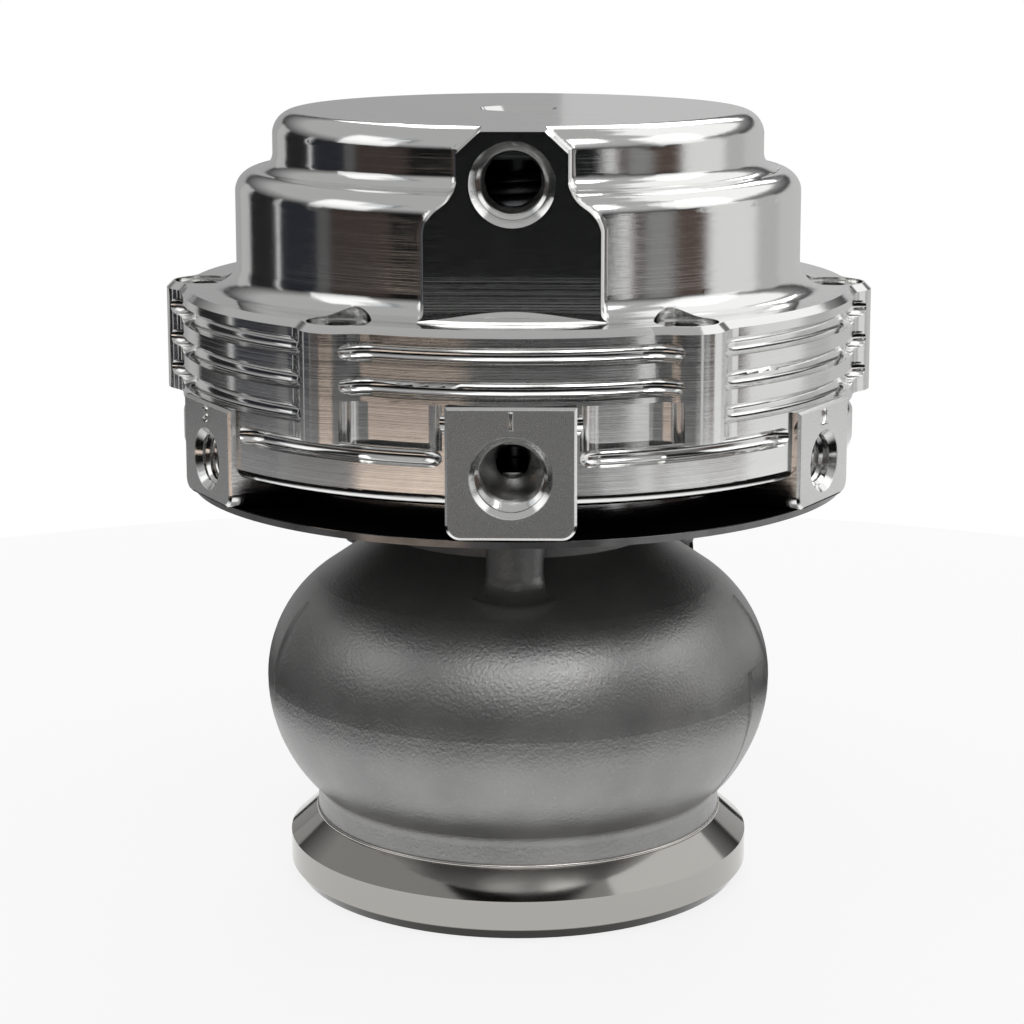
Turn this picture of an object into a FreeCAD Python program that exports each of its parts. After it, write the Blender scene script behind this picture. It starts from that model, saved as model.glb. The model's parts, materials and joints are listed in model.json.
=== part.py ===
"""An external turbo wastegate: a spring-loaded exhaust valve lifted by air under a diaphragm.

Frame: +Z is up along the valve's axis, the origin is the centre of the inlet flange's face,
-Y is the front, with the air ports, and +Y is the exhaust outlet. Millimetres and degrees.
"""
import FreeCAD, Part
import Sketcher
import os
from types import SimpleNamespace

# ---------------------------------------------------------------- driving sizes

SIZES = {
    # inlet flange, a standard V-band half
    "rim_radius": 30.85,
    "rim_bottom": 1.5,
    "rim_top": 5.2,
    "rim_chamfer": 1.05,
    "collar_radius": 27.1,
    "collar_top": 8.4,
    # cast valve chamber
    "casting_wall": 3.5,
    "inner_shoulder_height": 34.7,
    "inner_crown_height": 38.5,
    "overshoot": 1.0,
    "axis_length": 10.0,
    "neck_top": 12.0,
    "bulge_radius": 33.7,
    "bulge_height": 26.8,
    "belly_radius": 32.27,
    "belly_height": 19.4,
    "shoulder_radius": 31.05,
    "shoulder_height": 35.9,
    "crown_radius": 27.0,
    "crown_height": 40.3,
    "hub_radius": 18.0,
    "hub_root": 46.5,
    "body_top": 53.2,
    "guide_boss_radius": 10.5,
    "guide_boss_bottom": 37.5,
    "roof_height": 41.5,
    # pillars that carry the actuator
    "pillar_radius": 3.7,
    "pillar_circle": 20.4,
    "pillar_foot": 42.6,
    "pillar_flare": 2.6,
    "pillar_hole_depth": 9.0,
    # outlet, a smaller V-band half
    "outlet_bore": 18.0,
    "outlet_height": 29.5,
    "outlet_face": 57.0,
    "outlet_rim_radius": 26.0,
    "outlet_rim_land": 3.6,
    "outlet_rim_chamfer": 0.9,
    "outlet_cone": 3.0,
    "outlet_start": 15.0,
    # valve seat and valve
    "seat_outer": 25.0,
    "seat_bore": 20.8,
    "seat_height": 6.2,
    "seat_face": 1.6,
    "throat_radius": 22.9,
    "valve_radius": 22.0,
    "valve_margin": 1.3,
    "valve_bottom": 4.8,
    "seal_gap": 0.2,
    "guide_bevel": 0.5,
    "thread_bevel": 0.5,
    "stem_radius": 4.0,
    "stem_thread": 3.0,
    "stem_top": 81.5,
    "tulip_height": 9.0,
    # valve guide
    "guide_radius": 7.0,
    "guide_bottom": 35.5,
    # heat shield and gasket
    "gasket_thickness": 0.5,
    "shield_radius": 43.1,
    "shield_thickness": 0.8,
    "shield_hole": 9.0,
    # actuator housing
    "ring_radius": 44.1,
    "ring_bottom": 58.75,
    "ring_round": 1.5,
    "underside_hub": 34.0,
    "parting_height": 72.7,
    "floor_height": 61.0,
    "chamber_radius": 35.0,
    "stem_boss_radius": 10.0,
    "stem_boss_top": 66.0,
    # screw lobes around the joint
    "lobe_radius": 5.0,
    "lobe_circle": 41.4,
    "lobe_bottom": 65.5,
    "lobe_blend": 4.0,
    # milled grooves
    "groove_radius": 1.15,
    "groove_floor": 42.6,
    "groove_cutter": 4.5,
    "groove_span": 42.6,
    "groove_pitch": 4.05,
    "pocket_floor": 41.6,
    "pocket_cutter": 3.0,
    "pocket_top": 70.9,
    "pocket_start": 14.4,
    "pocket_end": 23.0,
    "waist_start": 14.8,
    "waist_end": 45.6,
    "waist_rear_start": 74.4,
    "waist_rear_end": 165.2,
    # port blocks
    "block_face": 44.6,
    "block_edge": 0.35,
    "air_block_width": 15.5,
    "air_block_bottom": 55.0,
    "air_block_top": 70.9,
    "water_block_width": 14.3,
    "water_block_bottom": 55.0,
    "water_block_top": 67.4,
    "block_corner": 1.8,
    "water_angle": 60.0,
    # air ports, tapered 1/8 pipe thread
    "air_mouth": 5.0,
    "air_thread": 4.3,
    "air_depth": 7.0,
    "air_passage": 2.0,
    "air_height": 62.5,
    # water ports, tapered 1/16 pipe thread
    "water_mouth": 3.98,
    "water_thread": 3.2,
    "water_depth": 6.5,
    "water_passage": 1.5,
    "water_height": 60.2,
    "water_passage_height": 58.2,
    "drilling_end": 8.2,
    # stem bush, its rings and seal
    "bush_radius": 6.5,
    "bush_bottom": 55.3,
    "bush_top": 62.6,
    "bush_waist": 5.4,
    "bush_waist_height": 2.0,
    "ring_cord": 0.45,
    "ring_groove_height": 1.2,
    "lower_ring_height": 56.2,
    "upper_ring_height": 60.9,
    "seal_radius": 7.5,
    "seal_height": 2.2,
    # diaphragm
    "diaphragm_radius": 38.5,
    "diaphragm_thickness": 0.8,
    "diaphragm_drop": 2.7,
    "convolution_inner": 29.4,
    "convolution_outer": 33.3,
    # pistons, washer and nut
    "lower_piston_radius": 28.6,
    "lower_piston_thickness": 2.0,
    "spring_seat_radius": 26.4,
    "spring_seat_thickness": 2.2,
    "spring_seat_lip": 1.8,
    "spring_lip_radius": 23.2,
    "washer_radius": 7.0,
    "washer_thickness": 1.2,
    "nut_across_corners": 11.5,
    "nut_height": 5.6,
    # springs
    "outer_spring_radius": 20.6,
    "outer_wire": 1.7,
    "middle_spring_radius": 16.0,
    "middle_wire": 1.4,
    "inner_spring_radius": 12.4,
    "inner_wire": 1.1,
    "outer_turns": 3.5,
    "middle_turns": 4.5,
    "inner_turns": 5.5,
    # actuator cap
    "flange_top": 79.8,
    "flange_chamfer": 0.85,
    "lower_tier_radius": 36.9,
    "lower_tier_root": 3.0,
    "tier_step": 94.8,
    "tier_step_outer_round": 2.8,
    "upper_tier_radius": 32.0,
    "crown_round": 3.1,
    "cap_top": 102.4,
    "cap_wall": 3.0,
    "cap_ceiling": 98.3,
    "cap_shoulder": 93.0,
    "top_boss_radius": 8.5,
    "top_boss_bottom": 91.5,
    "top_port_mouth": 5.1,
    # boss with the upper air port
    "boss_face": 37.4,
    "boss_top_half_width": 3.8,
    "boss_neck_half_width": 6.6,
    "boss_half_width": 10.5,
    "boss_chamfer_height": 2.6,
    "boss_neck_bottom": 96.3,
    "boss_sweep_middle": 93.4,
    "boss_sweep_bottom": 90.6,
    "boss_sweep_bulge": 0.55,
    "boss_blend": 1.2,
    "boss_port_height": 96.2,
    "boss_port_mouth": 5.15,
    "boss_port_thread_depth": 5.0,
    "boss_port_bore": 3.4,
    # M4 cap screws
    "cap_screw_radius": 2.0,
    "cap_screw_head": 3.5,
    "cap_screw_head_height": 4.0,
    "cap_screw_length": 8.6,
    "cap_recess_radius": 3.9,
    "cap_recess_floor": 75.4,
    "cap_screw_key": 1.73,
    # M5 housing bolts
    "bolt_radius": 2.5,
    "bolt_head": 4.25,
    "bolt_head_height": 5.0,
    "bolt_recess_radius": 4.9,
    "bolt_recess_floor": 57.0,
    "bolt_key": 2.3,
    "bolt_length": 12.0,
    "bolt_washer_radius": 4.7,
    "bolt_washer_thickness": 1.0,
    # plug in the rear air port
    "plug_length": 6.0,
    "plug_sink": 0.8,
    "plug_key": 2.75,
    "plug_key_depth": 3.5,
    # clearances
    "press_gap": 0.02,
    "slide_gap": 0.08,
    "screw_gap": 0.05,
    "hole_gap": 0.25,
}

FRONT = -90
# the middle of a quarter round, and the height of a hexagon's upper corners, as shares of its radius
QUARTER = 1 - 0.5 ** 0.5
HEX_RISE = 0.75 ** 0.5
LOBE_COUNT = 6
FIRST_LOBE = FRONT + 180 // LOBE_COUNT
PILLAR_COUNT = 3
ROUND = 360

doc = FreeCAD.newDocument("turbo_wastegate")
sheet = doc.addObject("Spreadsheet::Sheet", "Sizes")
for row, (name, value) in enumerate(SIZES.items(), start=1):
    sheet.set(f"A{row}", name)
    sheet.set(f"B{row}", str(value))
    sheet.setAlias(f"B{row}", name)
doc.recompute()


# ---------------------------------------------------------------- sizes with their expressions

def text_of(size):
    return size.text if isinstance(size, Size) else str(size)


def value_of(size):
    return size.value if isinstance(size, Size) else size


class Size:
    """A number that remembers the sheet expression it comes from."""

    def __init__(self, value, text):
        self.value = value
        self.text = text

    def __add__(self, other):
        return Size(self.value + value_of(other), f"({self.text} + {text_of(other)})")

    def __radd__(self, other):
        return Size(value_of(other) + self.value, f"({text_of(other)} + {self.text})")

    def __sub__(self, other):
        return Size(self.value - value_of(other), f"({self.text} - {text_of(other)})")

    def __rsub__(self, other):
        return Size(value_of(other) - self.value, f"({text_of(other)} - {self.text})")

    def __mul__(self, other):
        return Size(self.value * value_of(other), f"({self.text} * {text_of(other)})")

    def __rmul__(self, other):
        return self * other

    def __truediv__(self, other):
        return Size(self.value / value_of(other), f"({self.text} / {text_of(other)})")

    def __neg__(self):
        return Size(-self.value, f"(-{self.text})")


def root(amount):
    """The square root of a size."""
    return Size(amount.value ** 0.5, f"sqrt({amount.text})")


size = SimpleNamespace(**{name: Size(float(sheet.get(name)), f"Sizes.{name}") for name in SIZES})


def bind(thing, prop, amount):
    """Tie a property to the sheet, or set it where it is a plain number."""
    thing.setExpression(prop, text_of(amount))


# ---------------------------------------------------------------- sketches

class Arc:
    """A round stretch of an outline: through one point, to another."""

    def __init__(self, through, to):
        self.through = through
        self.to = to


def new_sketch(body, name, turned, plane="XZ_Plane"):
    """A sketch on one of the body's own planes, turned about the plane's upright by an angle."""
    sketch = body.newObject("Sketcher::SketchObject", name)
    base = [feature for feature in body.Origin.OriginFeatures if feature.Role == plane][0]
    sketch.AttachmentSupport = [(base, "")]
    sketch.MapMode = "FlatFace"
    upright = FreeCAD.Vector(0, 1, 0) if plane == "XZ_Plane" else FreeCAD.Vector(0, 0, 1)
    sketch.AttachmentOffset = FreeCAD.Placement(FreeCAD.Vector(), FreeCAD.Rotation(upright, value_of(turned)))
    if isinstance(turned, Size):
        bind(sketch, "AttachmentOffset.Rotation.Angle", turned)
    return sketch


def flat(place):
    return FreeCAD.Vector(value_of(place[0]), value_of(place[1]), 0)


def pins(shape, end, place):
    """The rules that fix a point of a sketch at a place, each with the size it follows."""
    rules = []
    for kind, axis, amount in (("DistanceX", -2, place[0]), ("DistanceY", -1, place[1])):
        if amount == 0:
            rules.append((Sketcher.Constraint("PointOnObject", shape, end, axis), None))
        else:
            rules.append((Sketcher.Constraint(kind, -1, 1, shape, end, value_of(amount)), amount))
    return rules


def constrain(sketch, rules):
    """Give a sketch all its rules at once, then tie them to the sheet."""
    first = sketch.ConstraintCount
    sketch.addConstraint([rule for rule, _ in rules])
    for number, (_, amount) in enumerate(rules, start=first):
        if amount is not None:
            bind(sketch, f"Constraints[{number}]", amount)


def add_arc(sketch, start, move):
    """Add an arc, counter-clockwise as a sketch wants it, and say which of its ends is which."""
    begin, through, end = flat(start), flat(move.through), flat(move.to)
    if (through - begin).cross(end - through).z > 0:
        return sketch.addGeometry(Part.Arc(begin, through, end), False), 1, 2
    return sketch.addGeometry(Part.Arc(end, through, begin), False), 2, 1


def draw(sketch, *moves):
    """Draw a closed outline. Each move is a corner, or an Arc that ends at one."""
    corners = [move.to if isinstance(move, Arc) else move for move in moves]
    ends = []
    rules = []
    for start, move in zip([corners[-1]] + corners[:-1], moves):
        if isinstance(move, Arc):
            shape, first, last = add_arc(sketch, start, move)
            point = sketch.addGeometry(Part.Point(flat(move.through)), True)
            rules.append((Sketcher.Constraint("PointOnObject", point, 1, shape), None))
            rules += pins(point, 1, move.through)
        else:
            shape, first, last = sketch.addGeometry(Part.LineSegment(flat(start), flat(move)), False), 1, 2
        ends.append((shape, first, last))
    for (before, _, last), (after, first, _), corner in zip(ends, ends[1:] + ends[:1], corners):
        rules.append((Sketcher.Constraint("Coincident", before, last, after, first), None))
        rules += pins(after, first, corner)
    constrain(sketch, rules)


def axis_line(sketch, start, end):
    """The sketch's own turning axis, as its first construction line."""
    line = sketch.addGeometry(Part.LineSegment(flat(start), flat(end)), True)
    constrain(sketch, pins(line, 1, start) + pins(line, 2, end))


# ---------------------------------------------------------------- features

def new_body(label):
    body = doc.addObject("PartDesign::Body", label)
    body.Label = label
    return body


def turn(body, name, moves, cut=False, azimuth=0, upright=None, level=None, sweep=ROUND):
    """Turn an outline of radius and height into a solid, or cut it away.

    The axis is the valve's own, or an upright one at a radius, or a level one at a height.
    """
    sketch = new_sketch(body, name + "_outline", azimuth)
    axis = "V_Axis"
    if upright is not None:
        axis_line(sketch, (upright, size.rim_top), (upright, size.rim_top + size.axis_length))
        axis = "Axis0"
    if level is not None:
        axis_line(sketch, (size.rim_top, level), (size.rim_top + size.axis_length, level))
        axis = "Axis0"
    draw(sketch, *moves)
    feature = body.newObject("PartDesign::Groove" if cut else "PartDesign::Revolution", name)
    feature.Profile = sketch
    feature.ReferenceAxis = (sketch, [axis])
    feature.Midplane = sweep is not ROUND
    bind(feature, "Angle", sweep)
    doc.recompute()
    return feature


def pad_from_axis(body, name, moves, azimuth, length):
    """Push an outline of width and height out from the valve's axis, towards an azimuth."""
    sketch = new_sketch(body, name + "_outline", azimuth + 90)
    draw(sketch, *moves)
    pad = body.newObject("PartDesign::Pad", name)
    pad.Profile = sketch
    bind(pad, "Length", length)
    doc.recompute()
    return pad


def plan_sketch(body, name, height, azimuth, moves):
    """A sketch seen from above, at a height, turned to an azimuth."""
    sketch = new_sketch(body, name, azimuth, "XY_Plane")
    bind(sketch, "AttachmentOffset.Base.z", height)
    draw(sketch, *moves)
    return sketch


def around(body, name, features, count):
    """Repeat features evenly around the valve's axis."""
    pattern = body.newObject("PartDesign::PolarPattern", name)
    pattern.Originals = features
    upright = next(line for line in body.Origin.OriginFeatures if line.Role == "Z_Axis")
    pattern.Axis = (upright, [""])
    pattern.Angle = ROUND
    pattern.Occurrences = count
    body.Tip = pattern
    doc.recompute()
    return pattern


def dress(body, name, kind, test, prop, amount):
    """Round or bevel the edges of the body that pass a test of their geometry."""
    base = body.Tip
    edges = [f"Edge{number}" for number, edge in enumerate(base.Shape.Edges, start=1) if test(edge)]
    feature = body.newObject("PartDesign::" + kind, name)
    feature.Base = (base, edges)
    bind(feature, prop, amount)
    doc.recompute()
    return feature


def milled(body, name, azimuth, sweep, floor, cutter, outline):
    """Mill a slot round the rim: a swept band, with the cutter's own round at each end."""
    band = turn(body, name + "_band", outline(floor, floor + 2 * cutter), cut=True, azimuth=azimuth, sweep=sweep)
    centre = floor + cutter
    cuts = [band]
    for side, turned in (("start", azimuth - sweep / 2), ("end", azimuth + sweep / 2)):
        cuts.append(turn(body, f"{name}_{side}", outline(floor, centre), cut=True, azimuth=turned,
                         upright=centre))
    return cuts


def round_slot(height):
    """The outline of a round-bottomed groove at a height, from its floor outwards."""
    def outline(floor, outer):
        centre = floor + size.groove_radius
        low = height - size.groove_radius
        high = height + size.groove_radius
        return [(outer, low), (centre, low), Arc((floor, height), (centre, high)), (outer, high)]
    return outline


def square_slot(low, high):
    """The outline of a square pocket between two heights, from its floor outwards."""
    def outline(floor, outer):
        return [(outer, low), (floor, low), (floor, high), (outer, high)]
    return outline


def level_outside(edge, height, radius):
    """True for an edge that lies level at a height, wholly outside a radius from the valve's axis."""
    box = edge.BoundBox
    flat_there = box.ZLength < 0.01 and abs(box.ZMin - height) < 0.01
    return flat_there and all((point.x ** 2 + point.y ** 2) ** 0.5 > radius for point in edge.discretize(5))


def beside_boss(edge):
    """True for an edge where the sides of the port boss meet the dome."""
    box = edge.BoundBox
    middle = edge.valueAt((edge.FirstParameter + edge.LastParameter) / 2)
    root_top = size.flange_top.value + size.lower_tier_root.value
    behind_face = box.YMin > 0.01 - size.boss_face.value and middle.y < -size.upper_tier_radius.value / 2
    beside = size.boss_top_half_width.value < abs(middle.x) < size.boss_half_width.value + 0.01
    return behind_face and beside and root_top - 0.01 < middle.z < size.cap_top.value - 0.01


def on_block_face(edge):
    """True for an edge that lies in the outer face of a port block."""
    ends = [edge.valueAt(edge.FirstParameter), edge.valueAt(edge.LastParameter)]
    for azimuth in (FRONT, FRONT + 180, FRONT + size.water_angle.value, FRONT - size.water_angle.value):
        outward = FreeCAD.Rotation(FreeCAD.Vector(0, 0, 1), azimuth).multVec(FreeCAD.Vector(1, 0, 0))
        if all(abs(end.dot(outward) - size.block_face.value) < 0.01 for end in ends):
            return True
    return False


def port(body, name, azimuth, face, height, mouth, thread, depth, passage, reach):
    """A threaded port: bevelled mouth, threaded bore, drill point and passage."""
    bevel = mouth - thread
    tip = face - depth
    turn(body, name, [
        (face + bevel, height),
        (face + bevel, height + mouth + bevel),
        (face - bevel, height + thread),
        (tip, height + thread),
        (tip - (thread - passage), height + passage),
        (reach, height + passage),
        (reach, height),
    ], cut=True, azimuth=azimuth, level=height)


def hole_ring(body, name, azimuth, circle, outline, count):
    """The same turned hole, repeated round the valve's axis."""
    hole = turn(body, name, outline, cut=True, azimuth=azimuth, upright=circle)
    around(body, name + "_ring", [hole], count)


s = size
outlet_radius = s.outlet_bore + s.casting_wall
shield_bottom = s.body_top + s.gasket_thickness
housing_bottom = shield_bottom + s.shield_thickness
piston_bottom = s.parting_height - s.diaphragm_thickness - s.diaphragm_drop - s.lower_piston_thickness
diaphragm_bottom = piston_bottom + s.lower_piston_thickness
spring_seat_bottom = diaphragm_bottom + s.diaphragm_thickness
spring_floor = spring_seat_bottom + s.spring_seat_thickness
nut_bottom = spring_floor + s.washer_thickness
piston_bore = s.stem_thread + s.screw_gap
guide_top = s.body_top - s.gasket_thickness


# ---------------------------------------------------------------- hot side

def make_valve_body():
    body = new_body("valve_body")
    turn(body, "casting", [
        (0, 0),
        (s.rim_radius - s.rim_chamfer, 0),
        (s.rim_radius, s.rim_bottom),
        (s.rim_radius, s.rim_top),
        (s.collar_radius, s.collar_top),
        (s.collar_radius, s.neck_top),
        Arc((s.belly_radius, s.belly_height), (s.bulge_radius, s.bulge_height)),
        Arc((s.shoulder_radius, s.shoulder_height), (s.crown_radius, s.crown_height)),
        (s.hub_radius, s.hub_root),
        (s.hub_radius, s.body_top),
        (0, s.body_top),
    ])
    outlet = s.outlet_face
    rim_back = outlet - s.outlet_rim_land
    turn(body, "outlet", [
        (0, s.outlet_height),
        (0, s.outlet_height + outlet_radius),
        (rim_back - s.outlet_cone, s.outlet_height + outlet_radius),
        (rim_back, s.outlet_height + s.outlet_rim_radius),
        (outlet - s.outlet_rim_chamfer, s.outlet_height + s.outlet_rim_radius),
        (outlet, s.outlet_height + s.outlet_rim_radius - s.outlet_rim_chamfer),
        (outlet, s.outlet_height),
    ], azimuth=90, level=s.outlet_height)
    flare = s.pillar_flare
    pillar = turn(body, "pillar", [
        (s.pillar_circle, s.pillar_foot),
        (s.pillar_circle + s.pillar_radius + flare, s.pillar_foot),
        Arc((s.pillar_circle + s.pillar_radius + flare * QUARTER, s.pillar_foot + flare * QUARTER),
            (s.pillar_circle + s.pillar_radius, s.pillar_foot + flare)),
        (s.pillar_circle + s.pillar_radius, s.body_top),
        (s.pillar_circle, s.body_top),
    ], azimuth=FRONT, upright=s.pillar_circle)
    around(body, "pillars", [pillar], PILLAR_COUNT)
    wall = s.casting_wall
    turn(body, "chamber", [
        (0, s.seat_height - s.overshoot),
        (s.throat_radius, s.seat_height - s.overshoot),
        (s.throat_radius, s.collar_top),
        (s.collar_radius - wall, s.neck_top),
        Arc((s.belly_radius - wall, s.belly_height), (s.bulge_radius - wall, s.bulge_height)),
        Arc((s.shoulder_radius - wall, s.inner_shoulder_height),
            (s.crown_radius - wall, s.inner_crown_height)),
        (s.guide_boss_radius + wall, s.roof_height),
        (s.guide_boss_radius, s.guide_boss_bottom),
        (0, s.guide_boss_bottom),
    ], cut=True)
    turn(body, "outlet_passage", [
        (s.outlet_start, s.outlet_height),
        (s.outlet_start, s.outlet_height + s.outlet_bore),
        (outlet + s.overshoot, s.outlet_height + s.outlet_bore),
        (outlet + s.overshoot, s.outlet_height),
    ], cut=True, azimuth=90, level=s.outlet_height)
    turn(body, "seat_recess", [
        (0, -s.rim_bottom),
        (s.seat_outer + s.press_gap, -s.rim_bottom),
        (s.seat_outer + s.press_gap, s.seat_height),
        (0, s.seat_height),
    ], cut=True)
    turn(body, "guide_bore", [
        (0, s.guide_bottom),
        (s.guide_radius + s.press_gap, s.guide_bottom),
        (s.guide_radius + s.press_gap, s.body_top + s.overshoot),
        (0, s.body_top + s.overshoot),
    ], cut=True)
    hole = s.bolt_radius + s.screw_gap
    hole_ring(body, "pillar_hole", FRONT, s.pillar_circle, [
        (s.pillar_circle, s.body_top - s.pillar_hole_depth - hole / 2),
        (s.pillar_circle + hole, s.body_top - s.pillar_hole_depth),
        (s.pillar_circle + hole, s.body_top + s.overshoot),
        (s.pillar_circle, s.body_top + s.overshoot),
    ], PILLAR_COUNT)
    return body


def make_valve_seat():
    body = new_body("valve_seat")
    turn(body, "seat", [
        (s.seat_bore, 0),
        (s.seat_outer, 0),
        (s.seat_outer, s.seat_height),
        (s.seat_bore + s.seat_face, s.seat_height),
        (s.seat_bore, s.seat_height - s.seat_face),
    ])
    return body


def make_valve():
    body = new_body("valve")
    # the 45-degree face is parallel to the seat's and stays the sealing gap above it
    seat_line = s.seat_height - s.seat_face - s.seat_bore + s.seal_gap
    face_inner = s.valve_bottom - seat_line
    face_top = s.valve_radius + seat_line
    head_top = face_top + s.valve_margin
    turn(body, "poppet", [
        (0, s.valve_bottom),
        (face_inner, s.valve_bottom),
        (s.valve_radius, face_top),
        (s.valve_radius, head_top),
        Arc((s.stem_radius * 2, head_top + s.tulip_height / 4), (s.stem_radius, head_top + s.tulip_height)),
        (s.stem_radius, piston_bottom),
        (s.stem_thread, piston_bottom),
        (s.stem_thread, s.stem_top - s.thread_bevel),
        (s.stem_thread - s.thread_bevel, s.stem_top),
        (0, s.stem_top),
    ])
    return body


def make_valve_guide():
    body = new_body("valve_guide")
    bore = s.stem_radius + s.slide_gap
    turn(body, "guide", [
        (bore, s.guide_bottom),
        (s.guide_radius - s.guide_bevel, s.guide_bottom),
        (s.guide_radius, s.guide_bottom + s.guide_bevel),
        (s.guide_radius, guide_top),
        (bore, guide_top),
    ])
    return body


def make_body_gasket():
    body = new_body("body_gasket")
    turn(body, "sheet", [
        (s.guide_radius + s.gasket_thickness, s.body_top),
        (s.hub_radius, s.body_top),
        (s.hub_radius, shield_bottom),
        (s.guide_radius + s.gasket_thickness, shield_bottom),
    ])
    ear = turn(body, "ear", [
        (s.pillar_circle, s.body_top),
        (s.pillar_circle + s.pillar_radius, s.body_top),
        (s.pillar_circle + s.pillar_radius, shield_bottom),
        (s.pillar_circle, shield_bottom),
    ], azimuth=FRONT, upright=s.pillar_circle)
    around(body, "ears", [ear], PILLAR_COUNT)
    hole = s.bolt_radius + s.hole_gap
    hole_ring(body, "bolt_hole", FRONT, s.pillar_circle, [
        (s.pillar_circle, s.body_top - s.overshoot),
        (s.pillar_circle + hole, s.body_top - s.overshoot),
        (s.pillar_circle + hole, shield_bottom + s.overshoot),
        (s.pillar_circle, shield_bottom + s.overshoot),
    ], PILLAR_COUNT)
    return body


def make_heat_shield():
    body = new_body("heat_shield")
    turn(body, "disc", [
        (s.shield_hole, shield_bottom),
        (s.shield_radius, shield_bottom),
        (s.shield_radius, housing_bottom),
        (s.shield_hole, housing_bottom),
    ])
    hole = s.bolt_radius + s.hole_gap
    hole_ring(body, "bolt_hole", FRONT, s.pillar_circle, [
        (s.pillar_circle, shield_bottom - s.overshoot),
        (s.pillar_circle + hole, shield_bottom - s.overshoot),
        (s.pillar_circle + hole, housing_bottom + s.overshoot),
        (s.pillar_circle, housing_bottom + s.overshoot),
    ], PILLAR_COUNT)
    return body


# ---------------------------------------------------------------- actuator housing and cap

def block_outline(width, bottom, top):
    """A port block seen from its face: square above, with rounded lower corners."""
    half = width / 2
    corner = s.block_corner
    near = corner * QUARTER
    return [
        (half, top),
        (-half, top),
        (-half, bottom + corner),
        Arc((-half + near, bottom + near), (-half + corner, bottom)),
        (half - corner, bottom),
        Arc((half - near, bottom + near), (half, bottom + corner)),
    ]


def add_lobes(body, bottom, top):
    """Screw lobes round the joint: each a round ear whose flanks sweep into the ring."""
    ring = s.ring_radius
    ear = s.lobe_radius
    circle = s.lobe_circle
    blend = s.lobe_blend
    # the blend's centre, at its own radius outside both the ring and the ear
    ring_reach, ear_reach = ring + blend, ear + blend
    along = (circle * circle + ring_reach * ring_reach - ear_reach * ear_reach) / (circle * 2)
    across = root((ring + blend) * (ring + blend) - along * along)
    on_ring = (along * ring / (ring + blend), across * ring / (ring + blend))
    on_ear = (circle + (along - circle) * ear / (ear + blend), across * ear / (ear + blend))
    # the middle of the blend, halfway between the two directions in which it touches
    lean = -(along / (ring + blend) + (along - circle) / (ear + blend))
    dip = -(across / (ring + blend) + across / (ear + blend))
    reach = blend / root(lean * lean + dip * dip)
    middle = (along + lean * reach, across + dip * reach)
    inside = ring - ear
    outline = [
        (inside, -on_ring[1]),
        (on_ring[0], -on_ring[1]),
        Arc((middle[0], -middle[1]), (on_ear[0], -on_ear[1])),
        Arc((circle + ear, 0), on_ear),
        Arc(middle, on_ring),
        (inside, on_ring[1]),
    ]
    lobe = body.newObject("PartDesign::Pad", "lobe")
    lobe.Profile = plan_sketch(body, "lobe_outline", bottom, FIRST_LOBE, outline)
    bind(lobe, "Length", top - bottom)
    doc.recompute()
    around(body, "lobes", [lobe], LOBE_COUNT)


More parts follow.
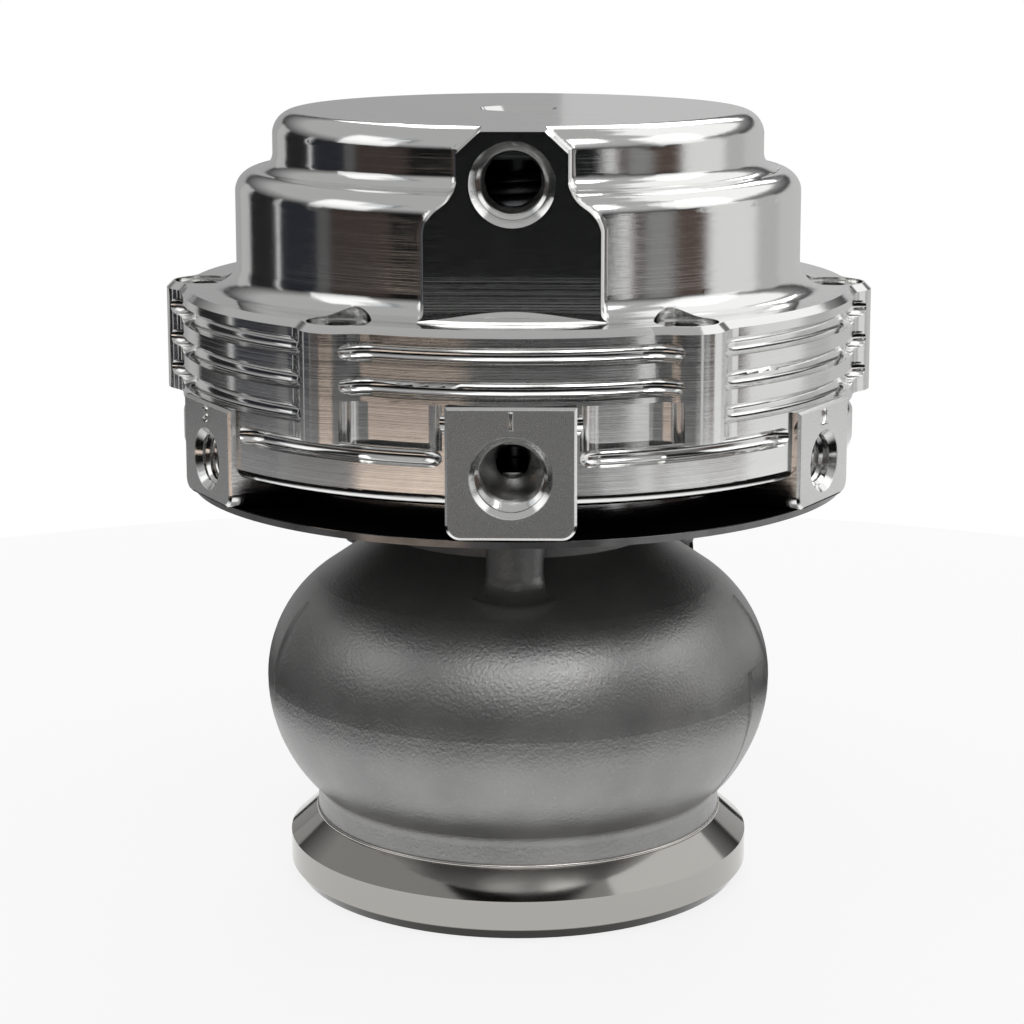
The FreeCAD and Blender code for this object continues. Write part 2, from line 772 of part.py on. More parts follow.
def make_actuator_housing():
    body = new_body("actuator_housing")
    ring = s.ring_radius
    corner = s.ring_round
    near = corner * QUARTER
    turn(body, "blank", [
        (0, housing_bottom),
        (s.underside_hub, housing_bottom),
        (s.underside_hub, s.ring_bottom),
        (ring - corner, s.ring_bottom),
        Arc((ring - near, s.ring_bottom + near), (ring, s.ring_bottom + corner)),
        (ring, s.parting_height),
        (0, s.parting_height),
    ])
    add_lobes(body, s.lobe_bottom, s.parting_height)

    for name, height in (("joint_groove", s.parting_height), ("lower_groove", s.parting_height - s.groove_pitch)):
        cuts = milled(body, name, FRONT, s.groove_span, s.groove_floor, s.groove_cutter, round_slot(height))
        around(body, name + "s", cuts, LOBE_COUNT)
    waist = round_slot(s.parting_height - s.groove_pitch * 2)
    for name, low, high in (("front", s.waist_start, s.waist_end), ("rear", s.waist_rear_start, s.waist_rear_end)):
        for side, azimuth in (("right", FRONT + (low + high) / 2), ("left", FRONT - (low + high) / 2)):
            milled(body, f"{name}_{side}_waist", azimuth, high - low, s.groove_floor, s.groove_cutter, waist)

    air = block_outline(s.air_block_width, s.air_block_bottom, s.air_block_top)
    water = block_outline(s.water_block_width, s.water_block_bottom, s.water_block_top)
    pad_from_axis(body, "front_block", air, FRONT, s.block_face)
    pad_from_axis(body, "rear_block", air, FRONT + 180, s.block_face)
    pad_from_axis(body, "right_block", water, FRONT + s.water_angle, s.block_face)
    pad_from_axis(body, "left_block", water, FRONT - s.water_angle, s.block_face)

    dress(body, "block_edges", "Chamfer", on_block_face, "Size", s.block_edge)

    pocket = square_slot(s.lobe_bottom, s.pocket_top)
    middle = (s.pocket_start + s.pocket_end) / 2
    sweep = s.pocket_end - s.pocket_start
    for name, centre in (("front", FRONT), ("rear", FRONT + 180)):
        for side, azimuth in (("right", centre + middle), ("left", centre - middle)):
            milled(body, f"{name}_{side}_pocket", azimuth, sweep, s.pocket_floor, s.pocket_cutter, pocket)

    land_bottom = s.parting_height - s.diaphragm_thickness
    above = s.parting_height + s.overshoot
    turn(body, "air_chamber", [
        (0, s.stem_boss_top),
        (s.stem_boss_radius, s.stem_boss_top),
        (s.stem_boss_radius, s.floor_height),
        (s.chamber_radius, s.floor_height),
        (s.chamber_radius, land_bottom),
        (s.diaphragm_radius + s.hole_gap, land_bottom),
        (s.diaphragm_radius + s.hole_gap, above),
        (0, above),
    ], cut=True)
    turn(body, "stem_bore", [
        (0, housing_bottom - s.overshoot),
        (s.stem_radius + s.hole_gap, housing_bottom - s.overshoot),
        (s.stem_radius + s.hole_gap, s.bush_bottom),
        (s.bush_radius + s.press_gap, s.bush_bottom),
        (s.bush_radius + s.press_gap, s.bush_top),
        (s.seal_radius + s.press_gap, s.bush_top),
        (s.seal_radius + s.press_gap, s.stem_boss_top + s.overshoot),
        (0, s.stem_boss_top + s.overshoot),
    ], cut=True)

    for name, azimuth in (("front_port", FRONT), ("rear_port", FRONT + 180)):
        port(body, name, azimuth, s.block_face, s.air_height, s.air_mouth, s.air_thread, s.air_depth,
             s.air_passage, s.chamber_radius - s.overshoot)
    passage = s.water_passage
    water_end = s.block_face - s.water_depth
    for name, azimuth in (("right_port", FRONT + s.water_angle), ("left_port", FRONT - s.water_angle)):
        port(body, name, azimuth, s.block_face, s.water_height, s.water_mouth, s.water_thread, s.water_depth,
             passage, water_end - s.water_thread + passage - 0.2)
        turn(body, name + "_drilling", [
            (s.drilling_end, s.water_passage_height),
            (s.drilling_end, s.water_passage_height + passage),
            (water_end + s.overshoot, s.water_passage_height + passage),
            (water_end + s.overshoot, s.water_passage_height),
        ], cut=True, azimuth=azimuth, level=s.water_passage_height)

    screw = s.cap_screw_radius + s.screw_gap
    screw_end = s.cap_recess_floor - s.cap_screw_length
    hole_ring(body, "screw_hole", FIRST_LOBE, s.lobe_circle, [
        (s.lobe_circle, screw_end - screw / 2),
        (s.lobe_circle + screw, screw_end),
        (s.lobe_circle + screw, above),
        (s.lobe_circle, above),
    ], LOBE_COUNT)
    hole = s.bolt_radius + s.hole_gap
    hole_ring(body, "bolt_hole", FRONT, s.pillar_circle, [
        (s.pillar_circle, housing_bottom - s.overshoot),
        (s.pillar_circle + hole, housing_bottom - s.overshoot),
        (s.pillar_circle + hole, s.bolt_recess_floor),
        (s.pillar_circle + s.bolt_recess_radius, s.bolt_recess_floor),
        (s.pillar_circle + s.bolt_recess_radius, s.floor_height + s.overshoot),
        (s.pillar_circle, s.floor_height + s.overshoot),
    ], PILLAR_COUNT)
    return body


def make_actuator_cap():
    body = new_body("actuator_cap")
    ring = s.ring_radius
    lower = s.lower_tier_radius
    upper = s.upper_tier_radius
    root_round = s.lower_tier_root
    outer_round = s.tier_step_outer_round
    inner_round = lower - upper - outer_round
    top_round = s.crown_round
    turn(body, "dome", [
        (0, s.parting_height),
        (ring, s.parting_height),
        (ring, s.flange_top),
        (lower + root_round, s.flange_top),
        Arc((lower + root_round * QUARTER, s.flange_top + root_round * QUARTER), (lower, s.flange_top + root_round)),
        (lower, s.tier_step - outer_round),
        Arc((lower - outer_round * QUARTER, s.tier_step - outer_round * QUARTER),
            (lower - outer_round, s.tier_step)),
        Arc((upper + inner_round * QUARTER, s.tier_step + inner_round * QUARTER),
            (upper, s.tier_step + inner_round)),
        (upper, s.cap_top - top_round),
        Arc((upper - top_round * QUARTER, s.cap_top - top_round * QUARTER), (upper - top_round, s.cap_top)),
        (0, s.cap_top),
    ])
    neck = s.boss_neck_half_width
    wide = s.boss_half_width
    middle = (neck + wide) / 2
    bulge = s.boss_sweep_bulge
    inner_knee = (neck + bulge, (s.boss_neck_bottom + s.boss_sweep_middle) / 2)
    outer_knee = (wide - bulge, (s.boss_sweep_middle + s.boss_sweep_bottom) / 2)
    pad_from_axis(body, "port_boss", [
        (-wide, s.flange_top - s.overshoot),
        (wide, s.flange_top - s.overshoot),
        (wide, s.boss_sweep_bottom),
        Arc(outer_knee, (middle, s.boss_sweep_middle)),
        Arc(inner_knee, (neck, s.boss_neck_bottom)),
        (neck, s.cap_top - s.boss_chamfer_height),
        (s.boss_top_half_width, s.cap_top),
        (-s.boss_top_half_width, s.cap_top),
        (-neck, s.cap_top - s.boss_chamfer_height),
        (-neck, s.boss_neck_bottom),
        Arc((-inner_knee[0], inner_knee[1]), (-middle, s.boss_sweep_middle)),
        Arc((-outer_knee[0], outer_knee[1]), (-wide, s.boss_sweep_bottom)),
    ], FRONT, s.boss_face)
    dress(body, "boss_blend", "Fillet", beside_boss, "Radius", s.boss_blend)
    add_lobes(body, s.parting_height, s.flange_top)
    top = s.flange_top.value
    rim = s.lower_tier_radius.value + s.lower_tier_root.value
    outside = rim + s.overshoot.value
    dress(body, "flange_bevel", "Chamfer", lambda edge: level_outside(edge, top, outside), "Size",
          s.flange_chamfer)
    for name, height in (("joint_groove", s.parting_height), ("upper_groove", s.parting_height + s.groove_pitch)):
        cuts = milled(body, name, FRONT, s.groove_span, s.groove_floor, s.groove_cutter, round_slot(height))
        around(body, name + "s", cuts, LOBE_COUNT)

    wall = s.cap_wall
    turn(body, "spring_chamber", [
        (0, s.parting_height - s.overshoot),
        (lower - wall, s.parting_height - s.overshoot),
        (lower - wall, s.cap_shoulder - (lower - upper)),
        (upper - wall, s.cap_shoulder),
        (upper - wall, s.cap_ceiling),
        (s.top_boss_radius, s.cap_ceiling),
        (s.top_boss_radius, s.top_boss_bottom),
        (0, s.top_boss_bottom),
    ], cut=True)
    bevel = s.top_port_mouth - s.air_thread
    port_end = s.cap_top - s.air_depth
    turn(body, "top_port", [
        (0, s.top_boss_bottom - s.overshoot),
        (s.air_passage, s.top_boss_bottom - s.overshoot),
        (s.air_passage, port_end - s.air_thread + s.air_passage),
        (s.air_thread, port_end),
        (s.air_thread, s.cap_top - bevel),
        (s.top_port_mouth + bevel, s.cap_top + bevel),
        (0, s.cap_top + bevel),
    ], cut=True)
    port(body, "boss_port", FRONT, s.boss_face, s.boss_port_height, s.boss_port_mouth, s.air_thread,
         s.boss_port_thread_depth, s.boss_port_bore, upper - wall - s.overshoot)
    clear = s.cap_screw_radius + s.hole_gap
    hole_ring(body, "screw_recess", FIRST_LOBE, s.lobe_circle, [
        (s.lobe_circle, s.parting_height - s.overshoot),
        (s.lobe_circle + clear, s.parting_height - s.overshoot),
        (s.lobe_circle + clear, s.cap_recess_floor),
        (s.lobe_circle + s.cap_recess_radius, s.cap_recess_floor),
        (s.lobe_circle + s.cap_recess_radius, s.flange_top + 3),
        (s.lobe_circle, s.flange_top + 3),
    ], LOBE_COUNT)
    return body


# ---------------------------------------------------------------- stem bush and seals

def make_stem_bush():
    body = new_body("stem_bush")
    bore = s.stem_radius + s.slide_gap
    groove = s.bush_radius - s.ring_cord * 2 - s.screw_gap
    half = s.ring_groove_height / 2
    waist_low = s.water_passage_height - s.bush_waist_height / 2
    waist_high = s.water_passage_height + s.bush_waist_height / 2
    turn(body, "bush", [
        (bore, s.bush_bottom),
        (s.bush_radius, s.bush_bottom),
        (s.bush_radius, s.lower_ring_height - half),
        (groove, s.lower_ring_height - half),
        (groove, s.lower_ring_height + half),
        (s.bush_radius, s.lower_ring_height + half),
        (s.bush_radius, waist_low),
        (s.bush_waist, waist_low),
        (s.bush_waist, waist_high),
        (s.bush_radius, waist_high),
        (s.bush_radius, s.upper_ring_height - half),
        (groove, s.upper_ring_height - half),
        (groove, s.upper_ring_height + half),
        (s.bush_radius, s.upper_ring_height + half),
        (s.bush_radius, s.bush_top),
        (bore, s.bush_top),
    ])
    return body


def make_bush_o_rings():
    rings = []
    for place, height in (("lower", s.lower_ring_height), ("upper", s.upper_ring_height)):
        ring = doc.addObject("Part::Torus", place + "_o_ring")
        bind(ring, "Radius1", s.bush_radius - s.ring_cord - s.screw_gap / 2)
        bind(ring, "Radius2", s.ring_cord)
        bind(ring, "Placement.Base.z", height)
        rings.append(ring)
    pair = doc.addObject("Part::Compound", "bush_o_rings")
    pair.Links = rings
    return pair


def make_stem_seal():
    body = new_body("stem_seal")
    lip = s.stem_radius + s.slide_gap
    top = s.bush_top + s.seal_height
    turn(body, "seal", [
        (lip + s.ring_cord, s.bush_top),
        (s.seal_radius, s.bush_top),
        (s.seal_radius, top),
        (lip + s.ring_cord * 2, top),
        (lip, top - s.ring_cord),
    ])
    return body


def make_seal_retainer():
    body = new_body("seal_retainer")
    bottom = s.bush_top + s.seal_height
    turn(body, "washer", [
        (s.stem_radius + s.hole_gap, bottom),
        (s.seal_radius, bottom),
        (s.seal_radius, s.stem_boss_top),
        (s.stem_radius + s.hole_gap, s.stem_boss_top),
    ])
    return body


# ---------------------------------------------------------------- diaphragm and its clamp

def make_diaphragm():
    body = new_body("diaphragm")
    thick = s.diaphragm_thickness
    land = s.parting_height - thick
    turn(body, "sheet", [
        (piston_bore, diaphragm_bottom),
        (s.convolution_inner, diaphragm_bottom),
        (s.convolution_outer, land),
        (s.diaphragm_radius, land),
        (s.diaphragm_radius, s.parting_height),
        (s.convolution_outer - thick / 2, s.parting_height),
        (s.convolution_inner - thick / 2, spring_seat_bottom),
        (piston_bore, spring_seat_bottom),
    ])
    return body


def make_lower_piston():
    body = new_body("lower_piston")
    turn(body, "plate", [
        (piston_bore, piston_bottom),
        (s.lower_piston_radius - s.lower_piston_thickness / 2, piston_bottom),
        (s.lower_piston_radius, piston_bottom + s.lower_piston_thickness / 2),
        (s.lower_piston_radius, diaphragm_bottom),
        (piston_bore, diaphragm_bottom),
    ])
    return body


def make_spring_seat():
    body = new_body("spring_seat")
    lip_top = spring_floor + s.spring_seat_lip
    turn(body, "plate", [
        (piston_bore, spring_seat_bottom),
        (s.spring_seat_radius, spring_seat_bottom),
        (s.spring_seat_radius, lip_top - s.spring_seat_lip / 2),
        (s.spring_seat_radius - s.spring_seat_lip / 2, lip_top),
        (s.spring_lip_radius, lip_top),
        (s.spring_lip_radius, spring_floor),
        (piston_bore, spring_floor),
    ])
    return body


def make_piston_washer():
    body = new_body("piston_washer")
    turn(body, "washer", [
        (piston_bore, spring_floor),
        (s.washer_radius, spring_floor),
        (s.washer_radius, nut_bottom),
        (piston_bore, nut_bottom),
    ])
    return body


def hexagon(radius, centre=0):
    """Six corners of a hexagon, centred on the sketch's level axis."""
    half = radius * 0.5
    rise = radius * HEX_RISE
    return [
        (centre + radius, 0),
        (centre + half, rise),
        (centre - half, rise),
        (centre - radius, 0),
        (centre - half, -rise),
        (centre + half, -rise),
    ]


def make_piston_nut():
    body = new_body("piston_nut")
    hexagon_pad = body.newObject("PartDesign::Pad", "hexagon")
    hexagon_pad.Profile = plan_sketch(body, "hexagon_outline", nut_bottom, 0, hexagon(s.nut_across_corners / 2))
    bind(hexagon_pad, "Length", s.nut_height)
    doc.recompute()
    top = nut_bottom + s.nut_height
    turn(body, "thread_bore", [
        (0, nut_bottom - s.overshoot),
        (piston_bore, nut_bottom - s.overshoot),
        (piston_bore, top + s.overshoot),
        (0, top + s.overshoot),
    ], cut=True)
    return body


def make_spring(label, radius, wire, turns):
    """A coil spring from the spring seat to the cap's ceiling."""
    coil = doc.addObject("Part::Helix", label + "_line")
    coil.SegmentLength = 1
    bind(coil, "Radius", radius)
    bind(coil, "Pitch", (s.cap_ceiling - spring_floor - wire * 2 - s.screw_gap * 2) / turns)
    bind(coil, "Height", s.cap_ceiling - spring_floor - wire * 2 - s.screw_gap * 2)
    bind(coil, "Placement.Base.z", spring_floor + wire + s.screw_gap)
    section = doc.addObject("Part::Circle", label + "_section")
    bind(section, "Radius", wire)
    section.Placement = FreeCAD.Placement(FreeCAD.Vector(), FreeCAD.Rotation(FreeCAD.Vector(1, 0, 0), 90))
    bind(section, "Placement.Base.x", radius)
    bind(section, "Placement.Base.z", spring_floor + wire + s.screw_gap)
    spring = doc.addObject("Part::Sweep", label)
    spring.Sections = [section]
    spring.Spine = (coil, [])
    spring.Solid = True
    spring.Frenet = True
    doc.recompute()
    return spring


# ---------------------------------------------------------------- fasteners and plug

def socket_screws(label, azimuth, circle, seat, shank, length, head, head_height, key, count):
    """A ring of socket-head screws, their heads seated at one height."""
    body = new_body(label)
    top = seat + head_height
    bevel = head_height / 10
    screw = turn(body, "screw", [
        (circle, seat - length),
        (circle + shank - bevel, seat - length),
        (circle + shank, seat - length + bevel),
        (circle + shank, seat),
        (circle + head, seat),
        (circle + head, top - bevel),
        (circle + head - bevel, top),
        (circle, top),
    ], azimuth=azimuth, upright=circle)
    socket = body.newObject("PartDesign::Pocket", "socket")
    socket.Profile = plan_sketch(body, "socket_outline", top, azimuth, hexagon(key, circle))
    bind(socket, "Length", head_height / 2)
    doc.recompute()
    around(body, "screws", [screw, socket], count)
    return body


def make_cap_screws():
    return socket_screws("cap_screws", FIRST_LOBE, s.lobe_circle, s.cap_recess_floor, s.cap_screw_radius,
                         s.cap_screw_length, s.cap_screw_head, s.cap_screw_head_height, s.cap_screw_key,
                         LOBE_COUNT)


def make_housing_bolts():
    seat = s.bolt_recess_floor + s.bolt_washer_thickness
    return socket_screws("housing_bolts", FRONT, s.pillar_circle, seat, s.bolt_radius, s.bolt_length,
                         s.bolt_head, s.bolt_head_height, s.bolt_key, PILLAR_COUNT)


def make_bolt_washers():
    body = new_body("housing_bolt_washers")
    hole = s.bolt_radius + s.screw_gap
    washer = turn(body, "washer", [
        (s.pillar_circle + hole, s.bolt_recess_floor),
        (s.pillar_circle + s.bolt_washer_radius, s.bolt_recess_floor),
        (s.pillar_circle + s.bolt_washer_radius, s.bolt_recess_floor + s.bolt_washer_thickness),
        (s.pillar_circle + hole, s.bolt_recess_floor + s.bolt_washer_thickness),
    ], azimuth=FRONT, upright=s.pillar_circle)
    around(body, "washers", [washer], PILLAR_COUNT)
    return body


def make_rear_port_plug():
    body = new_body("rear_port_plug")
    outer = s.block_face - s.plug_sink
    radius = s.air_thread - s.screw_gap
    turn(body, "plug", [
        (outer - s.plug_length, s.air_height),
        (outer - s.plug_length, s.air_height + radius),
        (outer, s.air_height + radius),
        (outer, s.air_height),
    ], azimuth=FRONT + 180, level=s.air_height)
    sketch = new_sketch(body, "key_outline", FRONT + 180 + 90)
    bind(sketch, "AttachmentOffset.Base.z", -outer)
    draw(sketch, *[(x, y + s.air_height) for x, y in hexagon(s.plug_key)])
    key = body.newObject("PartDesign::Pocket", "key")
    key.Profile = sketch
    bind(key, "Length", s.plug_key_depth)
    doc.recompute()
    return body


# ---------------------------------------------------------------- build, check and write

parts = [
    make_valve_body(),
    make_valve_seat(),
    make_valve(),
    make_valve_guide(),
    make_body_gasket(),
    make_heat_shield(),
    make_actuator_housing(),
    make_housing_bolts(),
    make_bolt_washers(),
    make_stem_bush(),
    make_bush_o_rings(),
    make_stem_seal(),
    make_seal_retainer(),
    make_lower_piston(),
    make_diaphragm(),
    make_spring_seat(),
    make_piston_washer(),
    make_piston_nut(),
    make_spring("spring_outer", s.outer_spring_radius, s.outer_wire, s.outer_turns),
    make_spring("spring_middle", s.middle_spring_radius, s.middle_wire, s.middle_turns),
    make_spring("spring_inner", s.inner_spring_radius, s.inner_wire, s.inner_turns),
    make_actuator_cap(),
    make_cap_screws(),
    make_rear_port_plug(),
]
doc.recompute()

failed = [thing.Name for thing in doc.Objects if "Invalid" in thing.State or "Error" in thing.State]
if failed:
    raise RuntimeError("These failed: " + ", ".join(failed))
for part in parts:
    if part.Shape.isNull() or not part.Shape.isValid():
        raise RuntimeError(f"{part.Label} has no valid shape")

os.makedirs("parts", exist_ok=True)
for part in parts:
    part.Shape.exportStep(f"parts/{part.Label}.step")
    print(part.Label, len(part.Shape.Solids), round(part.Shape.Volume, 1))
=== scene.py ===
# %% [markdown]
# # A turbo wastegate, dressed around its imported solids
#
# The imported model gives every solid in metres, with +Z up the valve stem and -Y to the front. This lesson keeps those
# solids, gives each a finish made of shader nodes, and adds the small forms that the solids leave out.

import json
import math
from types import SimpleNamespace

import bmesh
import bpy
from mathutils import Matrix, Vector

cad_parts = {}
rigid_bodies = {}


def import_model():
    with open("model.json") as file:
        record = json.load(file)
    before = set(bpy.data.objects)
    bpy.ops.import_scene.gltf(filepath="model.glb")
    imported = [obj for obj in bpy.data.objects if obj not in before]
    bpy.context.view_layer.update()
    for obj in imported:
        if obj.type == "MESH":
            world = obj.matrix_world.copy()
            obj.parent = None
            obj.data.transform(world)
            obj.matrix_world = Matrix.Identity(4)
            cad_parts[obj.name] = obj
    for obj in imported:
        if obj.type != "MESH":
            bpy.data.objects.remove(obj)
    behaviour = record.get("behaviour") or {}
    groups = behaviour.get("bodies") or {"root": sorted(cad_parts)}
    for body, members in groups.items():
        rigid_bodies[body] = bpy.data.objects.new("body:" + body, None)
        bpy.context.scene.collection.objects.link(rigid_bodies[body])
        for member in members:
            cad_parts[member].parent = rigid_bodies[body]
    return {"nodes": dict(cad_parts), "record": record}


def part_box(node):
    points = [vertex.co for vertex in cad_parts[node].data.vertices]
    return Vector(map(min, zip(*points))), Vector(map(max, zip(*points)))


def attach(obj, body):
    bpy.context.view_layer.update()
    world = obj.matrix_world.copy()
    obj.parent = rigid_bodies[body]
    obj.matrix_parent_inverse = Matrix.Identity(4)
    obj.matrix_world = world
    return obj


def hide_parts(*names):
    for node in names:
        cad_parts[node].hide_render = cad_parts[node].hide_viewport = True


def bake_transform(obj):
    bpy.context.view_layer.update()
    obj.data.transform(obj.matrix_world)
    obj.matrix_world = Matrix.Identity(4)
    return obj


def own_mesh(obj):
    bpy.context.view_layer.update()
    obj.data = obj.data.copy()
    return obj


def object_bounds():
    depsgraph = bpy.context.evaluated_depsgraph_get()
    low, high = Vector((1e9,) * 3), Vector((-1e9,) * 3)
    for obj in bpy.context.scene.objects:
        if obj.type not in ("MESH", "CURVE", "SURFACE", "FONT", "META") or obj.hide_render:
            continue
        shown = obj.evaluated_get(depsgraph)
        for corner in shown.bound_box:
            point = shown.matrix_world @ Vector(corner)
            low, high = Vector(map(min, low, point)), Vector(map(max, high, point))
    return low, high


for leftover in list(bpy.data.objects):
    bpy.data.objects.remove(leftover)
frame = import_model()
cad_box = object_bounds()
print("solids:", len(frame["nodes"]), "box:", cad_box)

MM = 0.001
CASING = "casing"
scene = bpy.context.scene
scene.view_settings.view_transform = "Standard"

# %% [markdown]
# ## The camera
#
# A long lens some 36 cm away, a little above the part and tilted down, keeps the ellipses of the flanges flat. A
# small shift lowers the frame without tilting further, so upright edges stay nearly parallel.

# %% Set the camera
CAMERA_AT = Vector((6.9, -357.9, 128.8)) * MM
CAMERA_TILT = 10.5
LENS = 96.26
SENSOR_WIDTH = 36
SHIFT_ACROSS, SHIFT_UP = -0.006, -0.10
NEAREST, FARTHEST = 0.01, 20

camera_data = bpy.data.cameras.new("camera")
camera_data.sensor_width = SENSOR_WIDTH
camera_data.lens = LENS
camera_data.shift_x = SHIFT_ACROSS
camera_data.shift_y = SHIFT_UP
camera_data.clip_start = NEAREST
camera_data.clip_end = FARTHEST
camera = bpy.data.objects.new("camera", camera_data)
camera.location = CAMERA_AT
heading = math.atan2(CAMERA_AT.x, -CAMERA_AT.y)
camera.rotation_euler = (math.radians(90 - CAMERA_TILT), 0, heading)
scene.collection.objects.link(camera)
scene.camera = camera
print("camera:", LENS, "mm lens,", CAMERA_TILT, "degrees down")

# %% [markdown]
# ## A small shader kit
#
# Every finish below is a few noise and ramp nodes that feed one Principled shader. Built by hand in the editor they
# would take a screen each. Four helpers keep them short: add makes a node and sets its inputs, math makes a sum,
# spread maps a value from one range to another, and mix blends two colours or values.

# %% Helpers for shader graphs
class Graph:
    """Adds nodes to one material or world, and links whatever is handed in as another node's output."""

    def __init__(self, owner):
        owner.use_nodes = True
        self.tree = owner.node_tree
        self.tree.nodes.clear()

    def add(self, kind, *inputs, out=0, **settings):
        node = self.tree.nodes.new("ShaderNode" + kind)
        named = {key: value for key, value in settings.items() if key[0].isupper()}
        for key, value in settings.items():
            if key not in named:
                setattr(node, key, value)
        for place, value in list(enumerate(inputs)) + list(named.items()):
            if value is None:
                continue
            socket = node.inputs[place.replace("_", " ") if isinstance(place, str) else place]
            if isinstance(value, bpy.types.NodeSocket):
                self.tree.links.new(value, socket)
            else:
                socket.default_value = value
        return node.outputs[out] if node.outputs else node

    def math(self, operation, first, second=None):
        return self.add("Math", first, second, operation=operation)

    def spread(self, value, low, high, to_low=0.0, to_high=1.0):
        return self.add("MapRange", value, low, high, to_low, to_high, clamp=True)

    def mix(self, share, first, second):
        node = self.tree.nodes.new("ShaderNodeMix")
        node.data_type = "RGBA"
        for socket, value in ((node.inputs[0], share), (node.inputs[6], first), (node.inputs[7], second)):
            if isinstance(value, bpy.types.NodeSocket):
                self.tree.links.new(value, socket)
            else:
                socket.default_value = (*value, 1) if isinstance(value, tuple) else value
        return node.outputs[2]


def shade(red, green=None, blue=None):
    """A colour named as it looks on a screen, turned into the linear light that shaders use."""
    green = red if green is None else green
    blue = red if blue is None else blue
    return tuple(((c + 0.055) / 1.055) ** 2.4 if c > 0.04 else c / 12.92 for c in (red, green, blue))


# %% [markdown]
# ## The floor and the world
#
# The part stands on a white sheet. The floor glows a little for the camera and for reflections, so that it stays
# white without more light on the part, and its diffuse share keeps the part's shadow. Reflections see the white only
# near the part and a dark table beyond, so the white that shows in the metal has an edge.

# %% Helper for new meshes
def link(name, mesh_maker, material):
    """Makes one object at the origin from whatever mesh_maker puts into a bmesh."""
    form = bmesh.new()
    mesh_maker(form)
    mesh = bpy.data.meshes.new(name)
    form.to_mesh(mesh)
    form.free()
    piece = bpy.data.objects.new(name, mesh)
    scene.collection.objects.link(piece)
    mesh.materials.append(material)
    return piece


# %% Floor and world
FLOOR_RADIUS = 0.22
FLOOR_DROP = 0.0002
FLOOR_TONE = 0.9
FLOOR_GLOW = 0.84
SHEET_RADIUS = 0.088
SHEET_FADE = 0.012
DARK_TABLE = shade(0.06)
WORLD_LIGHT = 0.55


def make_floor(form):
    bmesh.ops.create_circle(form, cap_ends=True, segments=96, radius=FLOOR_RADIUS)
    bmesh.ops.translate(form, verts=form.verts, vec=(0, 0, cad_box[0][2] - FLOOR_DROP))


floor_paint = bpy.data.materials.new("floor_paint")
floor_paint.cycles.emission_sampling = "NONE"
graph = Graph(floor_paint)
path = graph.tree.nodes.new("ShaderNodeLightPath")
plain = graph.add("BsdfDiffuse", Color=(FLOOR_TONE, FLOOR_TONE, FLOOR_TONE, 1))
glow = graph.add("Emission", Color=(1, 1, 1, 1), Strength=1.0)
seen = graph.math("MAXIMUM", path.outputs["Is Camera Ray"], path.outputs["Is Glossy Ray"])
seen = graph.math("MULTIPLY", seen, FLOOR_GLOW)
sheet = graph.add("MixShader", seen, plain, glow)
spot = graph.tree.nodes.new("ShaderNodeTexCoord").outputs["Object"]
reach = graph.add("VectorMath", spot, operation="LENGTH", out=1)
beyond = graph.spread(reach, SHEET_RADIUS - SHEET_FADE, SHEET_RADIUS + SHEET_FADE)
beyond = graph.math("MULTIPLY", beyond, path.outputs["Is Glossy Ray"])
dim = graph.add("Emission", Color=(*DARK_TABLE, 1), Strength=1.0)
graph.add("OutputMaterial", graph.add("MixShader", beyond, sheet, dim))
floor = link("studio_floor", make_floor, floor_paint)

world = bpy.data.worlds.new("studio_world")
scene.world = world
graph = Graph(world)
path = graph.tree.nodes.new("ShaderNodeLightPath")
mirror_or_eye = graph.math("MAXIMUM", path.outputs["Is Camera Ray"], path.outputs["Is Glossy Ray"])
mirror_or_eye = graph.math("MAXIMUM", mirror_or_eye, path.outputs["Is Transmission Ray"])
level = graph.spread(mirror_or_eye, 0, 1, WORLD_LIGHT, 1.0)
graph.add("OutputWorld", graph.add("Background", Color=(1, 1, 1, 1), Strength=level))
print("floor radius", FLOOR_RADIUS, "white sheet radius", SHEET_RADIUS)

# %% [markdown]
# ## The room that reflections see
#
# Polished metal has no look of its own: it shows the room. Real cards and soft boxes round the part would work, and
# would also light it. One large sphere that only reflections see is simpler: its paint is a list of windows, each an
# area in degrees with its own colour. At the height of the part it is dark in front, where the viewer stands, and
# above that a pale ceiling begins.

# %% The shell of panels
SHELL_RADIUS = 1.6
TABLE_TOP = -8.7
DARK_ROOM = shade(0.075, 0.082, 0.079)
CEILING = shade(0.68)
CEILING_STARTS, CEILING_FULL = 14, 30


def make_shell(form):
    bmesh.ops.create_icosphere(form, subdivisions=5, radius=SHELL_RADIUS)
    bmesh.ops.reverse_faces(form, faces=form.faces)


shell_paint = bpy.data.materials.new("studio_panels")
graph = Graph(shell_paint)
place = graph.tree.nodes.new("ShaderNodeTexCoord").outputs["Object"]
split = graph.tree.nodes.new("ShaderNodeSeparateXYZ")
graph.tree.links.new(place, split.inputs[0])
across, depth, height = split.outputs
turn = graph.math("ARCTAN2", across, graph.math("MULTIPLY", depth, -1))
turn = graph.math("MULTIPLY", turn, 180 / math.pi)
rise = graph.math("ARCSINE", graph.math("DIVIDE", height, SHELL_RADIUS))
rise = graph.math("MULTIPLY", rise, 180 / math.pi)


def panel(turn_from, turn_to, rise_from, rise_to, soft=0.6):
    """1 inside a window of the shell, given in degrees from the front and above the floor, 0 outside."""
    inside = 1.0
    edges = ((turn, turn_from, 1), (turn, turn_to, -1), (rise, rise_from, 1), (rise, rise_to, -1))
    for value, edge, sense in edges:
        if abs(edge) in (90, 180):
            continue
        low, high = edge - sense * soft, edge + sense * soft
        inside = graph.math("MULTIPLY", inside, graph.spread(value, low, high))
    return inside


